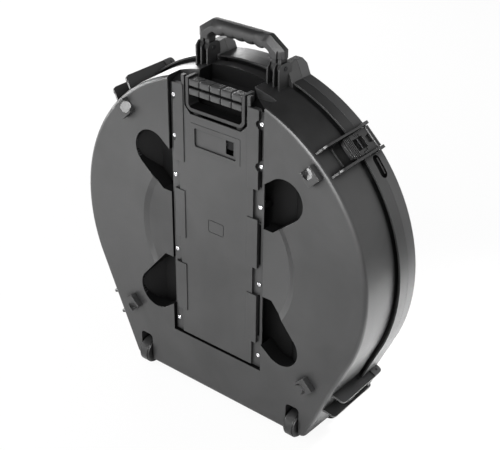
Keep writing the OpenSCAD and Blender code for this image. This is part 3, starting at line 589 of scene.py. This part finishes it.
def circle(bm, x, y, z, radius, steps):
    """A ring of points about a line along the case's depth."""
    angles = [2 * math.pi * i / steps for i in range(steps)]
    return [bm.verts.new(at(x + radius * math.cos(a), y, z + radius * math.sin(a))) for a in angles]


def bridge(bm, rings):
    """Walls between neighbouring rings, which all have the same count of points."""
    for one, two in zip(rings, rings[1:]):
        for i in range(len(one)):
            j = (i + 1) % len(one)
            bm.faces.new([one[i], one[j], two[j], two[i]])


def skin(bm, rings):
    """Walls between neighbouring rings and a flat end on the first and the last."""
    bridge(bm, rings)
    bm.faces.new(rings[0])
    bm.faces.new(list(reversed(rings[-1])))


def box_at(bm, low, high):
    """A box between two corners."""
    part = bmesh.ops.create_cube(bm, size=1.0)
    for v in part["verts"]:
        v.co = at(*[low[k] + (v.co[k] + 0.5) * (high[k] - low[k]) for k in range(3)])


def crowned_block(bm, low, high, radius, crown):
    """A pad with rounded edges, whose front swells by crown towards its middle."""
    size = [b - a for a, b in zip(low, high)]
    middle = [(a + b) / 2 for a, b in zip(low, high)]
    part = bmesh.new()
    bmesh.ops.create_cube(part, size=1.0)
    bmesh.ops.subdivide_edges(part, edges=part.edges[:], cuts=9, use_grid_fill=True)
    for v in part.verts:
        p = [v.co[k] * size[k] for k in range(3)]
        core = [max(-(size[k] / 2 - radius), min(size[k] / 2 - radius, p[k])) for k in range(3)]
        off = Vector([p[k] - core[k] for k in range(3)])
        if off.length > radius:
            off *= radius / off.length
        p = [core[k] + off[k] for k in range(3)]
        if p[1] < 0:
            swell = (1 - (2 * p[0] / size[0]) ** 2) * (1 - (2 * p[2] / size[2]) ** 2)
            p[1] -= crown * swell
        v.co = at(*[middle[k] + p[k] for k in range(3)])
    mesh = from_bmesh("part", part)
    bm.from_mesh(mesh)
    bpy.data.meshes.remove(mesh)


def grip():
    """Ribbed bar of the pull handle: two rows of five pads over a core."""
    low, high = 285.0, 313.0
    pads, pad_h, row_step, gap = 5, 11.7, 16.3, 0.5
    core_inset, core_end = 2, 0.05
    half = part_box("pull_handle_grip")[1].x * MM
    pitch = 2 * half / pads
    bm = bmesh.new()
    core_low = (-half + core_end, 8, low + core_inset)
    core_high = (half - core_end, 18, high - core_inset)
    crowned_block(bm, core_low, core_high, radius=2.0, crown=0.0)
    for row in (0, 1):
        z = low + row * row_step
        for k in range(pads):
            x = -half + k * pitch
            pad_low, pad_high = (x + gap, 1.0, z), (x + pitch - gap, 21, z + pad_h)
            crowned_block(bm, pad_low, pad_high, radius=1.3, crown=0.4)
    new_object("grip_pads", from_bmesh("grip_pads", bm), "grip_rubber", "pull_handle", ["pull_handle_grip"])


# Middle and half of the carry handle's depth
HANDLE_Y = 75
HANDLE_HALF = 14


def ring_points(chamfered, steps):
    """Unit section of the carry handle as [outward, depth]: round, or chamfered on its outer side."""
    corners = [(-1.0, -0.68), (-0.86, -0.94), (-0.72, -1.0), (0.06, -1.0), (1.0, -0.34), (1.0, 0.34),
               (0.06, 1.0), (-0.72, 1.0), (-0.86, 0.94), (-1.0, 0.68)]
    sides = list(zip(corners, corners[1:] + corners[:1]))
    power = 2.5  # of the round section, where 2 would be an ellipse
    tiny = 1e-9
    points = []
    for i in range(steps):
        a = 2 * math.pi * (i + 0.5) / steps
        dx, dy = -math.cos(a), -math.sin(a)
        size = (abs(dx) ** power + abs(dy) ** power) ** (-1 / power)
        round_at = (dx * size, dy * size)
        best = None
        for (x0, y0), (x1, y1) in sides:
            ex, ey = x1 - x0, y1 - y0
            den = dx * ey - dy * ex
            if abs(den) < tiny:
                continue
            t = (x0 * ey - y0 * ex) / den
            u = (x0 * dy - y0 * dx) / den
            if t > 0 and -tiny <= u <= 1 + tiny and (best is None or t < best):
                best = t
        flat_at = (dx * best, dy * best)
        points.append(tuple(r + (f - r) * chamfered for r, f in zip(round_at, flat_at)))
    return points


def carry_stations():
    """[outer x, outer z, inner x, inner z, chamfered] along the handle, from the left leg to the right.

    The leg's own are given as [outer x, outer z, turn of the inner point round the inner corner].
    """
    leg = ((-92.5, 365, 180), (-92.5, 368, 176), (-92.5, 372, 170), (-92.5, 376, 163), (-92.5, 379.5, 156),
           (-91.8, 380.5, 153), (-84, 385.9, 140), (-77, 390.7, 129), (-70, 395.5, 116), (-62.8, 400.5, 104),
           (-61.2, 401, 101), (-58.5, 401, 96))
    half, top, under = 52.5, 401.0, 378.2
    outer_half = 55.5
    corner_z, corner_r = 365, 13
    lobe_pitch, lobe_depth = 21.0, 4.2
    round_half, blend = 34, 18
    count = 80
    out = []
    for x, z, turn in leg:
        a = math.radians(turn)
        out.append((x, z, -half + corner_r * math.cos(a), corner_z + corner_r * math.sin(a), 1.0))
    mirror = [(-a, b, -c, d, e) for a, b, c, d, e in reversed(out)]
    for i in range(count + 1):
        x = -half + 2 * half * i / count
        t = (x + half) / lobe_pitch % 1.0
        lobe = math.sqrt(max(0.0, 1 - (2 * t - 1) ** 2)) if 0 < i < count else 0.0
        chamfered = max(0.0, min(1.0, (abs(x) - round_half) / blend))
        out.append((x * outer_half / half, top, x, under - lobe_depth * lobe, chamfered))
    return out + mirror


def knuckle(bm, x0, x1):
    """One of the handle's eyes: a round end about the pin and a shank up into the leg."""
    pin_z, mid_z, radius, bevel = 347, 357, 11, 0.8
    shank_half, shank_top = 9.0, 369.0
    angles = [math.radians(a) for a in range(145, 396, 10)]
    outline = [(HANDLE_Y + radius * math.cos(a), pin_z + radius * math.sin(a)) for a in angles]
    outline += [(HANDLE_Y + shank_half, shank_top), (HANDLE_Y - shank_half, shank_top)]
    layers = []
    for x, inset in ((x0, bevel), (x0 + bevel, 0.0), (x1 - bevel, 0.0), (x1, bevel)):
        grow = 1 - inset / radius
        spots = [at(x, HANDLE_Y + (y - HANDLE_Y) * grow, mid_z + (z - mid_z) * grow) for y, z in outline]
        layers.append([bm.verts.new(spot) for spot in spots])
    skin(bm, layers)


def groove_cutter():
    """Four boxes that cut the groove into both faces of both legs."""
    groove_x, half_width, deep = 82, 1, 3.3
    low, high = 355, 387
    cut = bmesh.new()
    for side in (-1, 1):
        for face in (-1, 1):
            x, y = side * groove_x, HANDLE_Y + face * HANDLE_HALF
            box_at(cut, (x - half_width, y - deep, low), (x + half_width, y + deep, high))
    cutter = bpy.data.objects.new("grooves", from_bmesh("grooves", cut))
    scene.collection.objects.link(cutter)
    return cutter


def carry_handle():
    """The folding handle: a lobed round bar between chamfered legs, each with a groove on both faces."""
    steps, sharp = 44, 28
    bm = bmesh.new()
    rings = []
    for outer_x, outer_z, inner_x, inner_z, chamfered in carry_stations():
        mid_x, mid_z = (outer_x + inner_x) / 2, (outer_z + inner_z) / 2
        half_x, half_z = (outer_x - inner_x) / 2, (outer_z - inner_z) / 2
        section = ring_points(chamfered, steps)
        spots = [at(mid_x + half_x * u, HANDLE_Y + HANDLE_HALF * v, mid_z + half_z * u) for u, v in section]
        rings.append([bm.verts.new(spot) for spot in spots])
    skin(bm, rings)
    mesh = from_bmesh("carry_grip", bm)
    obj = new_object("carry_grip", mesh, "handle_plastic", "carry_handle", ["carry_handle"])
    cutter = groove_cutter()
    mod = obj.modifiers.new("grooves", "BOOLEAN")
    mod.operation = "DIFFERENCE"
    mod.solver = "EXACT"
    mod.object = cutter
    apply_modifiers(obj)
    bpy.data.objects.remove(cutter)
    eyes = bmesh.new()
    for x0, x1 in ((67.3, 77.2), (80.8, 88.2)):
        knuckle(eyes, x0, x1)
        knuckle(eyes, -x1, -x0)
    eye_obj = new_object("carry_eyes", from_bmesh("carry_eyes", eyes), "handle_plastic", "carry_handle")
    for piece in (obj, eye_obj):
        sharp_shading(piece, sharp)


# The housing's screws: the head's radius and where the two rows stand
HEAD_R = 4.5
SCREW_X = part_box("housing_screws")[1].x * MM - HEAD_R
SCREW_Z = (273, 195, 117, -40, -196)


def pan_screw(bm, x, z, turn):
    """A pan-head screw whose head has a cross recess, pushed in from the grid of a dome."""
    rings, steps = 14, 48
    top, seat = 3.4, 6.0
    crown, lip, lip_from, skirt_h = 1.2, 6.3, 0.86, 0.2
    arm_l, arm_w, recess, recess_r = 3.0, 0.75, 2.0, 3.4
    reach, steep, shallow = 1.25, 2.2, 0.25
    shank_r, tip_r, tip_y = 2.0, 1.6, 28.0
    cos, sin = math.cos(turn), math.sin(turn)
    grid = []
    for k in range(rings + 1):
        r = HEAD_R * k / rings
        dome = top + crown * (r / HEAD_R) ** 2 + lip * max(0.0, r / HEAD_R - lip_from)
        ring = []
        for i in range(steps if k else 1):
            a = 2 * math.pi * i / steps
            u, w = r * math.cos(a), r * math.sin(a)
            across, along = abs(u * cos + w * sin), abs(w * cos - u * sin)
            arm = min(max(across / arm_l, along / arm_w), max(along / arm_l, across / arm_w))
            sink = recess * max(0.0, min(1.0, (reach - arm) * steep)) * max(shallow, 1 - r / recess_r)
            ring.append(bm.verts.new(at(x + u, min(seat - skirt_h, dome) + sink, z + w)))
        grid.append(ring)
    centre, first = grid[0][0], grid[1]
    for i in range(steps):
        bm.faces.new([centre, first[(i + 1) % steps], first[i]])
    skirt = circle(bm, x, seat, z, HEAD_R, steps)
    shank = circle(bm, x, seat, z, shank_r, steps)
    tip = circle(bm, x, tip_y, z, tip_r, steps)
    bridge(bm, grid[1:] + [skirt, shank, tip])
    bm.faces.new(tip)


def screws():
    """Ten screws in two rows, each turned as it came to rest."""
    bm = bmesh.new()
    for k, z in enumerate(SCREW_Z):
        for side in (-1, 1):
            turn = 0.35 + 0.61 * k + 0.9 * side
            pan_screw(bm, side * SCREW_X, z, turn)
    new_object("panel_screws", from_bmesh("panel_screws", bm), "screw_steel", "base", ["housing_screws"])


def softened(node, name, finish, body, voxel, wave):
    """A foam piece grown from its solid: remeshed, its edges rounded and its faces gently uneven.

    The remesh's voxel and the wave's height are in metres.
    """
    ripple, roll_x, roll_z = 9.5, 61, 47
    copy = nodes[node].data.copy()
    obj = new_object(name, copy, finish, body, [node])
    low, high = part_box(node)
    mod = obj.modifiers.new("even", "REMESH")
    mod.mode = "VOXEL"
    mod.voxel_size = voxel
    smooth = obj.modifiers.new("round", "SMOOTH")
    smooth.factor = 0.5
    smooth.iterations = 4
    apply_modifiers(obj)
    for v in obj.data.vertices:
        x, z = v.co.x * MM, v.co.z * MM
        lift = math.sin(x / ripple) * math.sin(z / ripple)
        lift += 0.6 * math.sin(x / roll_x + 1.3) * math.cos(z / roll_z)
        side = 1 if v.co.y > (low.y + high.y) / 2 else -1
        room = min(abs(v.co.y - low.y), abs(v.co.y - high.y))
        v.co.y -= side * min(wave, room + wave) * (0.5 + 0.3 * lift)
    for poly in obj.data.polygons:
        poly.use_smooth = True


def felts():
    """Pressed felt washers with rounded, slightly uneven rims."""
    out, hole, thick, steps = 30.0, 6.4, 5.0, 72
    near = [(hole, 0.8), (hole + 0.8, 0.1), (out - 1.8, 0.15), (out - 0.5, 0.9)]
    far = [(r, thick - d) for r, d in reversed(near)]
    profile = [*near, (out, thick / 2), *far, near[0]]
    rim_from, wobble, lobes = 0.02, 0.006, 5
    for node, name, y in (("lower_felt", "felt_lower", 72.0), ("upper_felt", "felt_upper", 77.0)):
        bm = bmesh.new()
        bridge(bm, [circle(bm, 0, y + d, 0, r, steps) for r, d in profile])
        for v in bm.verts:
            a = math.atan2(v.co.z - CENTRE_Z, v.co.x)
            r = math.hypot(v.co.z - CENTRE_Z, v.co.x)
            if r > rim_from:
                grow = 1 - wobble * (1 + math.sin(lobes * a + y))
                v.co.x *= grow
                v.co.z = CENTRE_Z + (v.co.z - CENTRE_Z) * grow
        bmesh.ops.remove_doubles(bm, verts=bm.verts, dist=1e-6)
        piece = new_object(name, from_bmesh(name, bm), "felt", "base", [node])


def gasket():
    """Seal cord in the rim: the solid's run with its section rounded."""
    copy = nodes["rim_gasket"].data.copy()
    obj = new_object("seal_cord", copy, "gasket_rubber", "base", ["rim_gasket"])
    weld = obj.modifiers.new("weld", "WELD")
    weld.merge_threshold = 1e-6
    flat = obj.modifiers.new("flat", "DECIMATE")
    flat.decimate_type = "DISSOLVE"
    flat.angle_limit = math.radians(0.5)
    bevel = obj.modifiers.new("round", "BEVEL")
    bevel.width = 0.0011
    bevel.segments = 3
    bevel.limit_method = "ANGLE"
    bevel.angle_limit = math.radians(40)
    apply_modifiers(obj)


grip()
carry_handle()
screws()
softened("base_foam_pad", "base_padding", "foam", "base", 0.004, 0.0007)
softened("lid_foam_pad", "lid_padding", "foam", "lid", 0.004, 0.0007)
felts()
gasket()


# Scene

scene.view_settings.view_transform = "Standard"
make_camera()
make_world()
make_floor()
area_light("key", (0.3, -2.5, 2.5), (0, 0, 0.3), (1.6, 1.2), 44)
area_light("front", (-1.1, -1.2, 1.2), (-0.55, -0.6, 0.0), (0.8, 0.8), 16, glossy=False)
area_light("left", (-2.0, 1.6, 0.8), (0, 0, 0.4), (1.2, 1.4), 30)
area_light("strip", (1.29, -1.63, 1.5), (0, 0, 0.3), (0.15, 2.8), 45, matt=False, roll=45)
area_light("facet_left", (-2.7, -1.25, 0.5), (0, 0, 0.4), (0.9, 0.6), 45, matt=False)
area_light("facet_front", (0.14, -2.5, 1.0), (0, 0, 0.4), (0.5, 0.5), 45, matt=False)
floor_spot("back", (1.0, 1.5, 1.7), (0.5, 0.32, 0), 30, 540)
